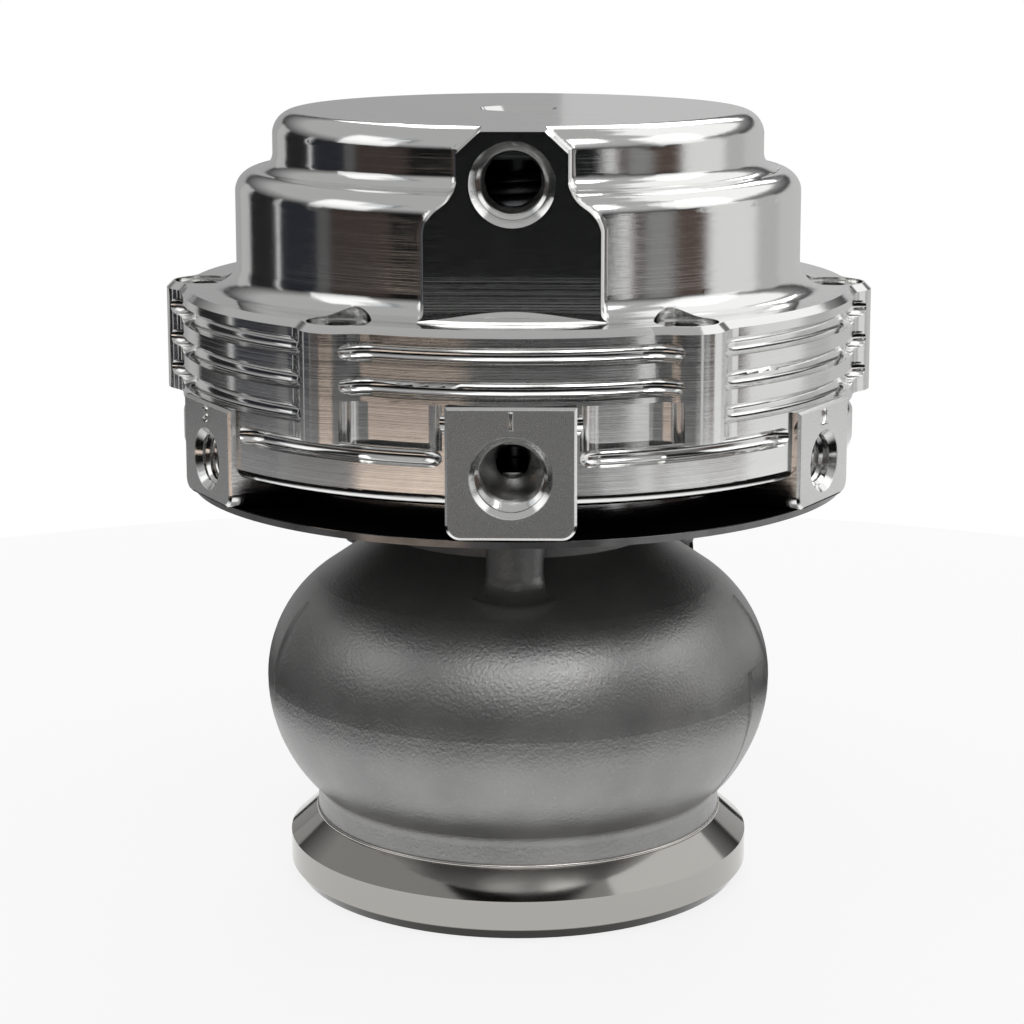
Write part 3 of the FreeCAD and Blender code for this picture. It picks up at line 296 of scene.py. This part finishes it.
# each window: turn from and to, rise from and to, and its colour
WALLS = [
    ((-180, -150, TABLE_TOP, 14), shade(0.64)),
    ((-150, -135, TABLE_TOP, 16), shade(0.70)),
    ((-135, -111, TABLE_TOP, 14), shade(0.14)),
    ((-111, -108, TABLE_TOP, 18), shade(0.80)),
    ((-108, -85, TABLE_TOP, 12), shade(0.15, 0.155, 0.18)),
    ((-85, -78, TABLE_TOP, 18), shade(0.33)),
    ((-78, -50, TABLE_TOP, 12), shade(0.23, 0.20, 0.19)),
    ((40, 46, TABLE_TOP, 14), shade(0.85)),
    ((46, 51, TABLE_TOP, 12), shade(0.24, 0.19, 0.17)),
    ((51, 65, TABLE_TOP, 14), shade(0.50)),
    ((65, 81, TABLE_TOP, 12), shade(0.31, 0.26, 0.24)),
    ((81, 111, TABLE_TOP, 20), shade(0.86)),
    ((111, 128, TABLE_TOP, 18), shade(0.70)),
    ((128, 180, TABLE_TOP, 14), shade(0.75)),
]
TABLE = [
    ((-180, -54, -90, TABLE_TOP), shade(0.62)),
    ((-54, -16, -90, TABLE_TOP), shade(1.0, 0.92, 0.86)),
    ((-16, 28, -90, TABLE_TOP), shade(0.74)),
    ((-16, 28, -90, -10.2), shade(0.55)),
    ((28, 50, -90, TABLE_TOP), shade(0.84)),
    ((50, 180, -90, TABLE_TOP), shade(0.94)),
]
OVERHEAD = [
    ((84, 150, 26, 66), shade(1.0)),
    ((-24, 4, 38, 52), shade(1.35)),
    ((20, 46, 42, 56), shade(2.0)),
    ((-72, -54, 34, 46), shade(0.02, 0.16, 0.19)),
]
room = graph.mix(graph.spread(rise, CEILING_STARTS, CEILING_FULL), DARK_ROOM, CEILING)
for window, colour in WALLS + TABLE + OVERHEAD:
    room = graph.mix(panel(*window), room, colour)
graph.add("OutputMaterial", graph.add("Emission", Color=room, Strength=1.0))
shell = link("studio_shell", make_shell, shell_paint)
shell.visible_camera = False
shell.visible_diffuse = False
shell.visible_shadow = False
print("panels:", len(WALLS + TABLE + OVERHEAD))

# %% [markdown]
# ## Lamps
#
# The shell lights nothing but reflections. The world and four weak area lamps, hung above the part at its front,
# back and sides, light the rubber and the rougher metal and give the part a soft shadow.

# %% Hang the lamps
LAMPS = [
    ("lamp_front", (0.10, -0.90, 0.75), 0.7, 1.2),
    ("lamp_left", (-0.95, -0.25, 0.60), 0.6, 0.8),
    ("lamp_right", (0.95, -0.10, 0.65), 0.6, 0.8),
    ("lamp_back", (0.10, 0.95, 0.80), 0.7, 4.0),
]
aim_at = Vector((0, 0, 0.05))
for name, where, width, watts in LAMPS:
    lamp_data = bpy.data.lights.new(name, "AREA")
    lamp_data.size = width
    lamp_data.energy = watts
    lamp = bpy.data.objects.new(name, lamp_data)
    lamp.location = where
    lamp.rotation_euler = (aim_at - lamp.location).to_track_quat("-Z", "Y").to_euler()
    scene.collection.objects.link(lamp)
    print(name, watts, "W")

# %% [markdown]
# ## Metals
#
# A metal finish is mostly its roughness and its smallest scratches. Most of these share one recipe: a metallic
# Principled shader, a noise that varies the roughness in patches, and a bump made of tool lines or grain. Positions
# are measured in millimetres on each solid, so a pattern keeps its size and moves with its solid.

# %% Finish recipes
def coordinates(graph):
    """Where a point lies on the part: its vector, x, y, z and distance from the stem's axis, in millimetres."""
    vector = graph.tree.nodes.new("ShaderNodeTexCoord").outputs["Object"]
    vector = graph.add("VectorMath", vector, operation="SCALE", Scale=1 / MM)
    split = graph.tree.nodes.new("ShaderNodeSeparateXYZ")
    graph.tree.links.new(vector, split.inputs[0])
    x, y, z = split.outputs
    radius = graph.math("SQRT", graph.math("ADD", graph.math("MULTIPLY", x, x), graph.math("MULTIPLY", y, y)))
    return SimpleNamespace(vector=vector, x=x, y=y, z=z, radius=radius)


def tool_lines(graph, at, along, pitch, waver=0.25):
    """Fine lines that follow the cutter: a noise along one measure, bent a little by a slow noise."""
    drift = graph.add("TexNoise", Vector=at.vector, Scale=0.12, Detail=2.0)
    bent = graph.math("ADD", along, graph.math("MULTIPLY", drift, waver))
    return graph.add("TexNoise", noise_dimensions="1D", W=bent, Scale=1 / pitch, Detail=3.0, Roughness=0.6)


def finish_metal(graph, colour, roughness, normal):
    shader = graph.add("BsdfPrincipled", Base_Color=colour, Metallic=1.0, Roughness=roughness, Normal=normal)
    graph.add("OutputMaterial", shader)


# %% [markdown]
# ## Polished aluminium
#
# The cap and the housing are machined from billet and polished. Their walls keep fine level lines from the lathe,
# the faces of the port blocks are left satin, and the front face of the cap's boss shows almost no lines. One
# material serves all three, because each kind of face lies at a known distance from the stem.

# %% Mix the polished aluminium
BLOCK_FACE = 44.6
BOSS_FACE = 37.4
MIRROR_ABOVE = 85

aluminium = bpy.data.materials.new("polished_aluminium")
graph = Graph(aluminium)
at = coordinates(graph)
front = graph.math("MULTIPLY", at.y, -1)
halfway = graph.math("MULTIPLY", at.y, -0.5)
sideways = graph.math("MULTIPLY", graph.math("ABSOLUTE", at.x), math.sqrt(0.75))
outwards = graph.math("MAXIMUM", front, graph.math("ADD", halfway, sideways))
satin = graph.spread(outwards, BLOCK_FACE - 0.15, BLOCK_FACE - 0.05)
satin = graph.math("MULTIPLY", satin, graph.spread(outwards, BLOCK_FACE + 0.05, BLOCK_FACE + 0.02))
mirror = graph.spread(front, BOSS_FACE - 0.1, BOSS_FACE - 0.02)
mirror = graph.math("MULTIPLY", mirror, graph.spread(at.z, MIRROR_ABOVE, MIRROR_ABOVE + 1))
lines = tool_lines(graph, at, at.z, 0.06, 0.1)
grain = graph.add("TexNoise", Vector=at.vector, Scale=9.0, Detail=4.0, Roughness=0.7)
relief = graph.mix(satin, lines, grain)
strength = graph.math("SUBTRACT", graph.spread(mirror, 0, 1, 0.35, 0.05), graph.math("MULTIPLY", satin, 0.22))
fine = graph.add("Bump", Strength=strength, Distance=0.01 * MM, Height=relief)
swell = graph.add("TexNoise", Vector=at.vector, Scale=0.5, Detail=2.0)
slow = graph.add("Bump", Strength=0.05, Distance=0.1 * MM, Height=swell, Normal=fine)
stretched = graph.add("VectorMath", at.vector, (0.25, 0.25, 4.0), operation="MULTIPLY")
scuffs = graph.add("TexNoise", Vector=stretched, Scale=1.5, Detail=4.0, Roughness=0.7)
polish = graph.spread(scuffs, 0.3, 0.75, 0.07, 0.15)
roughness = graph.mix(satin, polish, graph.spread(grain, 0.3, 0.7, 0.22, 0.36))
finish_metal(graph, (0.88, 0.88, 0.87, 1), roughness, slow)
print(aluminium.name, len(graph.tree.nodes), "nodes")

# %% [markdown]
# ## Cast stainless
#
# The valve body is a casting: a dark, grainy skin with small pits. Its flanges are turned bright after casting. The
# dark band at the very foot is painted shade, standing in for the shadowed floor that the chamfer under the rim
# reflects. Height on the part, and distance along the outlet, say which is which, so one material covers the whole
# solid without a painted mask.

# %% Mix the cast stainless
CAST_ABOVE, TURNED_BELOW = 8.5, 8.2
OUTLET_TURNED_FROM = 53
PAINTED_SHADE_BELOW = 1.4

casting = bpy.data.materials.new("cast_stainless")
graph = Graph(casting)
at = coordinates(graph)
machined = graph.spread(at.z, CAST_ABOVE, TURNED_BELOW)
outlet_turned = graph.spread(at.y, OUTLET_TURNED_FROM - 0.1, OUTLET_TURNED_FROM + 0.1)
machined = graph.math("MAXIMUM", machined, outlet_turned)
grain = graph.add("TexNoise", Vector=at.vector, Scale=2.6, Detail=4.0, Roughness=0.65)
pits = graph.add("TexVoronoi", Vector=at.vector, Scale=1.9, Randomness=1.0)
patches = graph.add("TexNoise", Vector=at.vector, Scale=0.10, Detail=4.0)
skin = graph.math("ADD", graph.math("MULTIPLY", grain, 0.8), graph.math("MULTIPLY", pits, 0.25))
lines = tool_lines(graph, at, graph.math("ADD", at.z, at.radius), 0.12)
relief = graph.mix(machined, skin, lines)
strength = graph.spread(machined, 0, 1, 0.55, 0.12)
relief_depth = graph.spread(machined, 0, 1, 0.14 * MM, 0.006 * MM)
bump = graph.add("Bump", Strength=strength, Distance=relief_depth, Height=relief)
rough_skin = graph.spread(patches, 0.3, 0.7, 0.29, 0.36)
roughness = graph.mix(machined, rough_skin, graph.spread(patches, 0.3, 0.7, 0.05, 0.10))
tone = graph.mix(graph.spread(patches, 0.35, 0.65), (0.29, 0.29, 0.288), (0.36, 0.358, 0.352))
tone = graph.mix(graph.spread(grain, 0.62, 0.72, 0, 0.7), tone, (0.50, 0.49, 0.48))
# Near the foot the turned colour drops to near black: painted shade for the shadowed floor that the chamfer reflects.
above_painted_shade = graph.spread(at.z, PAINTED_SHADE_BELOW - 0.1, PAINTED_SHADE_BELOW + 0.1)
bright = graph.mix(above_painted_shade, (0.04, 0.039, 0.037), (0.43, 0.42, 0.395))
colour = graph.mix(machined, tone, bright)
metallic = graph.spread(machined, 0, 1, 0.80, 1)
shader = graph.add("BsdfPrincipled", Base_Color=colour, Metallic=metallic, Roughness=roughness, Normal=bump)
graph.add("OutputMaterial", shader)
print(casting.name, len(graph.tree.nodes), "nodes")

# %% [markdown]
# ## The heat shield
#
# A thin steel disc between the casting and the housing, black all over but for a bare edge. The black shows no
# highlight, so its specular level is zero, and only the edge is metallic. It needs no bump.

# %% Mix the shield's black
SHIELD_EDGE = 42.8

shield = bpy.data.materials.new("shield_steel")
graph = Graph(shield)
at = coordinates(graph)
bare = graph.spread(at.radius, SHIELD_EDGE - 0.1, SHIELD_EDGE + 0.1)
patches = graph.add("TexNoise", Vector=at.vector, Scale=0.2, Detail=3.0)
colour = graph.mix(bare, (0.003, 0.003, 0.003), (0.20, 0.20, 0.20))
roughness = graph.spread(patches, 0.3, 0.7, 0.10, 0.22)
shader = graph.add("BsdfPrincipled", Base_Color=colour, Metallic=bare, Roughness=roughness, Specular_IOR_Level=0.0)
graph.add("OutputMaterial", shader)
print(shield.name, len(graph.tree.nodes), "nodes")

# %% [markdown]
# ## Plain metals and rubber
#
# Bolts, springs, bushes and the valve differ only in colour and polish, so one recipe makes them all. Seals and the
# diaphragm share a matt moulded skin.

# %% Mix the rest and dress the solids
def turned_metal(name, colour, low, high):
    material = bpy.data.materials.new(name)
    graph = Graph(material)
    at = coordinates(graph)
    lines = tool_lines(graph, at, graph.math("ADD", at.z, at.radius), 0.15)
    patches = graph.add("TexNoise", Vector=at.vector, Scale=0.3, Detail=3.0)
    bump = graph.add("Bump", Strength=0.2, Distance=0.02 * MM, Height=lines)
    finish_metal(graph, (*colour, 1), graph.spread(patches, 0.3, 0.7, low, high), bump)
    return material


def moulded_rubber(name, colour):
    material = bpy.data.materials.new(name)
    graph = Graph(material)
    skin = graph.add("TexNoise", Vector=coordinates(graph).vector, Scale=3.0, Detail=3.0)
    bump = graph.add("Bump", Strength=0.3, Distance=0.03 * MM, Height=skin)
    roughness = graph.spread(skin, 0.3, 0.7, 0.45, 0.65)
    shader = graph.add("BsdfPrincipled", Base_Color=(*colour, 1), Roughness=roughness, Normal=bump)
    graph.add("OutputMaterial", shader)
    return material


FINISHES = {
    "polished_aluminium": aluminium,
    "cast_stainless": casting,
    "shield_steel": shield,
    "machined_stainless": turned_metal("machined_stainless", (0.62, 0.60, 0.57), 0.15, 0.28),
    "bronze": turned_metal("bronze", (0.63, 0.48, 0.25), 0.2, 0.35),
    "gasket_steel": turned_metal("gasket_steel", (0.45, 0.45, 0.45), 0.3, 0.45),
    "plain_aluminium": turned_metal("plain_aluminium", (0.72, 0.72, 0.72), 0.25, 0.4),
    "fastener_steel": turned_metal("fastener_steel", (0.55, 0.55, 0.54), 0.15, 0.3),
    "spring_steel": turned_metal("spring_steel", (0.25, 0.26, 0.28), 0.3, 0.45),
    "seal_rubber": moulded_rubber("seal_rubber", (0.03, 0.03, 0.03)),
    "diaphragm_rubber": moulded_rubber("diaphragm_rubber", (0.06, 0.05, 0.05)),
}
slot_of = {part["node"]: part["material_slot"] for part in frame["record"]["subparts"]}
for node, solid in frame["nodes"].items():
    solid.data.materials[0] = FINISHES[slot_of[node]]
print("finishes:", len(FINISHES), "dressed solids:", len(frame["nodes"]))

# %% [markdown]
# ## Small helpers for new pieces
#
# A turned piece starts as a few vertices joined in a loop, the piece's section, and bmesh's spin carries that loop
# round an axis. Given a step along the axis as well, the same operator winds a coil or cuts a thread.

# %% Helpers for turned and wound pieces
UP = Vector((0, 0, 1))
TURN_STEPS = 128
WIRE_SIDES = 12
CREASE = math.radians(38)


def section(form, points):
    """A closed loop through (radius, height) points in millimetres, in the plane to the right of the stem."""
    corners = [form.verts.new((radius * MM, 0, height * MM)) for radius, height in points]
    for first, second in zip(corners, corners[1:] + corners[:1]):
        form.edges.new((first, second))


def round_section(form, radius, height, thickness):
    """A round section of this half thickness, with its centre at a radius and a height in millimetres."""
    around = [2 * math.pi * side / WIRE_SIDES for side in range(WIRE_SIDES)]
    section(form, [(radius + thickness * math.cos(angle), height + thickness * math.sin(angle)) for angle in around])


def revolve(form, turns=1.0, climb=0.0, steps=TURN_STEPS):
    """Carries the section round the stem's axis; a climb in millimetres per turn makes it a closed coil."""
    whole = climb == 0
    bmesh.ops.spin(form, geom=form.verts[:] + form.edges[:], cent=(0, 0, 0), axis=UP, angle=2 * math.pi * turns,
                   steps=steps, dvec=UP * climb * MM * turns / steps, use_merge=whole)
    open_edges = [edge for edge in form.edges if edge.is_boundary]
    if open_edges:
        bmesh.ops.holes_fill(form, edges=open_edges)
    bmesh.ops.recalc_face_normals(form, faces=form.faces)


def finish_piece(piece, body=CASING):
    """Smooth shading with crisp creases, and the body that the piece moves with."""
    piece.data.shade_smooth()
    piece.data.set_sharp_from_angle(angle=CREASE)
    if body:
        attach(piece, body)
    print(piece.name, len(piece.data.polygons), "faces")
    return piece


# %% [markdown]
# ## Threads in the ports
#
# A tapped port shows its thread as a stack of bright lines inside the mouth. One triangle, wound inwards like a
# coil, gives real ridges that catch the light, where a bump texture would vanish at the edge of the hole.

# %% Cut the port threads
THREAD_HEIGHT = 0.42
THREAD_SINK = 0.10
THREAD_PITCH = 0.94
THREAD_HALF_WIDTH = 0.46
STEPS_PER_TURN = 40
FRONT = -90
RIGHT = FRONT + 60
LEFT = FRONT - 60
WIDE_BORE = 4.3
NARROW_BORE = 3.2


def cut_thread(name, azimuth, height, bore, deep, mouth):
    """A thread in a port: its bore's radius, and the distances of its deep end and mouth from the stem. The upright
    port has no azimuth, and its two distances are heights above the foot."""
    turns = (mouth - deep) / THREAD_PITCH

    def wind(form):
        half = THREAD_PITCH * THREAD_HALF_WIDTH
        section(form, [(bore + THREAD_SINK, -half), (bore + THREAD_SINK, half), (bore - THREAD_HEIGHT, 0)])
        revolve(form, turns=turns, climb=THREAD_PITCH, steps=int(turns * STEPS_PER_TURN))
        if azimuth is None:
            bmesh.ops.translate(form, verts=form.verts, vec=UP * deep * MM)
            return
        outward = Matrix.Rotation(math.radians(azimuth), 3, "Z") @ Matrix.Rotation(math.pi / 2, 3, "Y")
        bmesh.ops.rotate(form, verts=form.verts, cent=(0, 0, 0), matrix=outward)
        along = outward @ UP
        bmesh.ops.translate(form, verts=form.verts, vec=along * deep * MM + UP * height * MM)

    return finish_piece(link(name, wind, aluminium))


cut_thread("front_port_thread", FRONT, 62.5, WIDE_BORE, 38.2, 43.4)
cut_thread("cap_port_thread", FRONT, 96.2, WIDE_BORE, 32.9, 36.0)
cut_thread("right_port_thread", RIGHT, 60.2, NARROW_BORE, 38.6, 43.4)
cut_thread("left_port_thread", LEFT, 60.2, NARROW_BORE, 38.6, 43.4)
cut_thread("top_port_thread", None, 0, WIDE_BORE, 96.0, 101.2)

# %% [markdown]
# ## Port numbers
#
# Three of the ports carry a plain number. A stamp would sink it into the face, which would mean cutting the solid. A
# text curve with a round bevel, raised by a quarter of a millimetre, shows much the same soft shoulders. It is made a
# mesh before it is turned to face out of its block.

# %% Number the ports
NUMBER_SWELL = 0.24
STROKE_THINNED = 0.10


def number_port(digit, azimuth, height, size):
    curve = bpy.data.curves.new("port_number_" + digit, "FONT")
    curve.body = digit
    curve.align_x = "CENTER"
    curve.align_y = "CENTER"
    curve.size = size * MM
    curve.offset = -STROKE_THINNED * MM
    curve.bevel_depth = NUMBER_SWELL * MM
    curve.bevel_resolution = 3
    words = bpy.data.objects.new("port_number_" + digit, curve)
    mesh = bpy.data.meshes.new_from_object(words)
    bpy.data.objects.remove(words)
    facing = Matrix.Rotation(math.radians(azimuth + 90), 4, "Z") @ Matrix.Rotation(math.pi / 2, 4, "X")
    outward = Vector((math.cos(math.radians(azimuth)), math.sin(math.radians(azimuth)), 0))
    place = outward * BLOCK_FACE * MM + UP * height * MM
    mesh.transform(Matrix.Translation(place) @ facing)
    mesh.materials.clear()
    mesh.materials.append(aluminium)
    piece = bpy.data.objects.new("port_number_" + digit, mesh)
    scene.collection.objects.link(piece)
    return finish_piece(piece)


number_port("1", FRONT, 69.15, 2.9)
number_port("2", RIGHT, 65.8, 2.7)
number_port("3", LEFT, 65.8, 2.7)

# %% [markdown]
# ## The neck of the casting
#
# Where the round belly meets the neck, the sand core leaves a hollow curve, and where the cutter stopped above the
# flange it leaves a narrow bright lip. Both are turned rings that sink into the solid, so no gap can show. An arc
# through three points stands for the belly's outline, and its centre is worked out before the fillet is laid on it.
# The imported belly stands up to 0.28 mm outside this arc, and 0.08 mm outside the fillet's upper edge.

# %% Turn the neck fillet and the machined lip
NECK = Vector((27.1, 12.0))
BELLY = Vector((32.0, 19.4))
BULGE = Vector((33.7, 26.8))
SHOULDER = Vector((31.2, 35.9))
CROWN = Vector((27.0, 40.3))
FILLET = 2.6
FILLET_SINK = 1.0
FILLET_STEPS = 10
LIP = 0.28
LIP_HEIGHT = 8.5


def circle_through(first, second, third):
    """The centre and radius of the circle through three points, from where two of its diameters cross."""
    one, two = second - first, third - first
    double = 2 * (one.x * two.y - one.y * two.x)
    from_first = Vector((two.y * one.length_squared - one.y * two.length_squared,
                         one.x * two.length_squared - two.x * one.length_squared)) / double
    return first + from_first, from_first.length


def make_fillet(form):
    centre, belly_radius = circle_through(NECK, BELLY, BULGE)
    ring = NECK.x + FILLET
    rise = centre.y - math.sqrt((belly_radius + FILLET) ** 2 - (ring - centre.x) ** 2)
    lean = math.atan2(centre.y - rise, centre.x - ring)
    sweep = [math.pi + (lean - math.pi) * step / FILLET_STEPS for step in range(FILLET_STEPS + 1)]
    curve = [(ring + FILLET * math.cos(angle), rise + FILLET * math.sin(angle)) for angle in sweep]
    sunk = NECK.x - FILLET_SINK
    section(form, [(sunk, curve[0][1]), *curve, (sunk, curve[-1][1])])
    revolve(form)


def make_lip(form):
    round_section(form, NECK.x, LIP_HEIGHT, LIP)
    revolve(form)


finish_piece(link("neck_fillet", make_fillet, casting))
finish_piece(link("flange_lip", make_lip, FINISHES["machined_stainless"]))

# %% [markdown]
# ## Parting ridges
#
# The two halves of the mould leave a thin ridge down each side of the casting, and a flat pad where the metal was
# poured in. A narrow section is swung about the centre of each arc, so the strip follows the solid. The arcs run up
# to 0.28 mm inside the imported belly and 0.15 mm outside its shoulder, so parts of the strips are buried at the belly
# and the ridges stand higher at the shoulder.

# %% Raise the parting ridges and the pad
RIDGE_SINK = 0.3
RIDGE_STEP = 2.5
SHORTEST_ARC = 0.5


def raise_strip(name, azimuth, half, rise, low, high, taper=0.35):
    """A strip up the casting's side: half its width, its rise, and the heights of its ends."""

    def swing(form):
        for points in ((NECK, BELLY, BULGE), (BULGE, SHOULDER, CROWN)):
            centre, reach = circle_through(*points)
            ends = [max(min(height, points[2].y), points[0].y) for height in (low, high)]
            if ends[1] - ends[0] < SHORTEST_ARC:
                continue
            start, stop = [math.asin((end - centre.y) / reach) for end in ends]
            loop = []
            for across, lift in ((-half, -RIDGE_SINK), (-half * taper, rise), (half * taper, rise),
                                 (half, -RIDGE_SINK)):
                out = (reach + lift) * Vector((math.cos(start), 0, math.sin(start)))
                corner = Vector((centre.x, 0, centre.y)) + out + Vector((0, across, 0))
                loop.append(form.verts.new(corner * MM))
            edges = [form.edges.new(pair) for pair in zip(loop, loop[1:] + loop[:1])]
            steps = max(2, int(math.degrees(stop - start) / RIDGE_STEP))
            bmesh.ops.spin(form, geom=loop + edges, cent=(centre.x * MM, 0, centre.y * MM), axis=(0, -1, 0),
                           angle=stop - start, steps=steps)
        bmesh.ops.remove_doubles(form, verts=form.verts, dist=0.02 * MM)
        bmesh.ops.holes_fill(form, edges=[edge for edge in form.edges if edge.is_boundary])
        bmesh.ops.recalc_face_normals(form, faces=form.faces)
        round_to = Matrix.Rotation(math.radians(azimuth), 3, "Z")
        bmesh.ops.rotate(form, verts=form.verts, cent=(0, 0, 0), matrix=round_to)

    return finish_piece(link(name, swing, casting))


raise_strip("left_parting_ridge", FRONT - 71, 0.45, 0.10, 13.5, 38.5)
raise_strip("right_parting_ridge", FRONT + 80, 0.45, 0.10, 13.5, 38.5)
raise_strip("pouring_pad", FRONT + 69, 2.6, 0.22, 13.5, 30.5, taper=0.86)

# %% [markdown]
# ## Springs
#
# Inside the cap, three coils push the valve shut. A packed coil can't get shorter, so a coil of the same size stands
# in for each.

# %% Wind the springs
COIL_STEPS = 48


def wind_coil(node, wire, turns):
    low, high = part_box(node)
    coil_radius = high[0] / MM - wire
    bottom, top = low[2] / MM, high[2] / MM

    def wind(form):
        round_section(form, coil_radius, bottom + wire, wire)
        revolve(form, turns=turns, climb=(top - bottom - 2 * wire) / turns, steps=int(turns * COIL_STEPS))

    coil = finish_piece(link(node + "_coil", wind, FINISHES["spring_steel"]))
    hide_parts(node)
    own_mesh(coil)


wind_coil("spring_outer", 1.7, 3.5)
wind_coil("spring_middle", 1.4, 4.5)
wind_coil("spring_inner", 1.1, 5.5)

# %% [markdown]
# ## The diaphragm
#
# A rubber sheet, clamped at its rim between housing and cap, rides on the piston in the middle. Air under it lifts
# the valve. A copy with more rings across its fold stands in for the imported sheet.

# %% Mould the diaphragm
SHEET_THICKNESS = 0.8
STEM_HOLE = 3.1
FOLD_INNER, FOLD_OUTER = 29.4, 33.3
FOLD_RINGS = 9


def mould_sheet(form):
    low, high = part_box("diaphragm")
    rim, bottom, top = high[0] / MM, low[2] / MM, high[2] / MM
    across = [step / FOLD_RINGS for step in range(FOLD_RINGS + 1)]
    rise = top - SHEET_THICKNESS - bottom
    under = [(FOLD_INNER + (FOLD_OUTER - FOLD_INNER) * part, bottom + rise * part) for part in across]
    over = [(radius - SHEET_THICKNESS / 2, height + SHEET_THICKNESS) for radius, height in reversed(under)]
    section(form, [(STEM_HOLE, bottom), *under, (rim, top - SHEET_THICKNESS), (rim, top), *over,
                   (STEM_HOLE, bottom + SHEET_THICKNESS)])
    revolve(form)


diaphragm = link("diaphragm_sheet", mould_sheet, FINISHES["diaphragm_rubber"])
finish_piece(diaphragm, body=None)
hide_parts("diaphragm")
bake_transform(diaphragm)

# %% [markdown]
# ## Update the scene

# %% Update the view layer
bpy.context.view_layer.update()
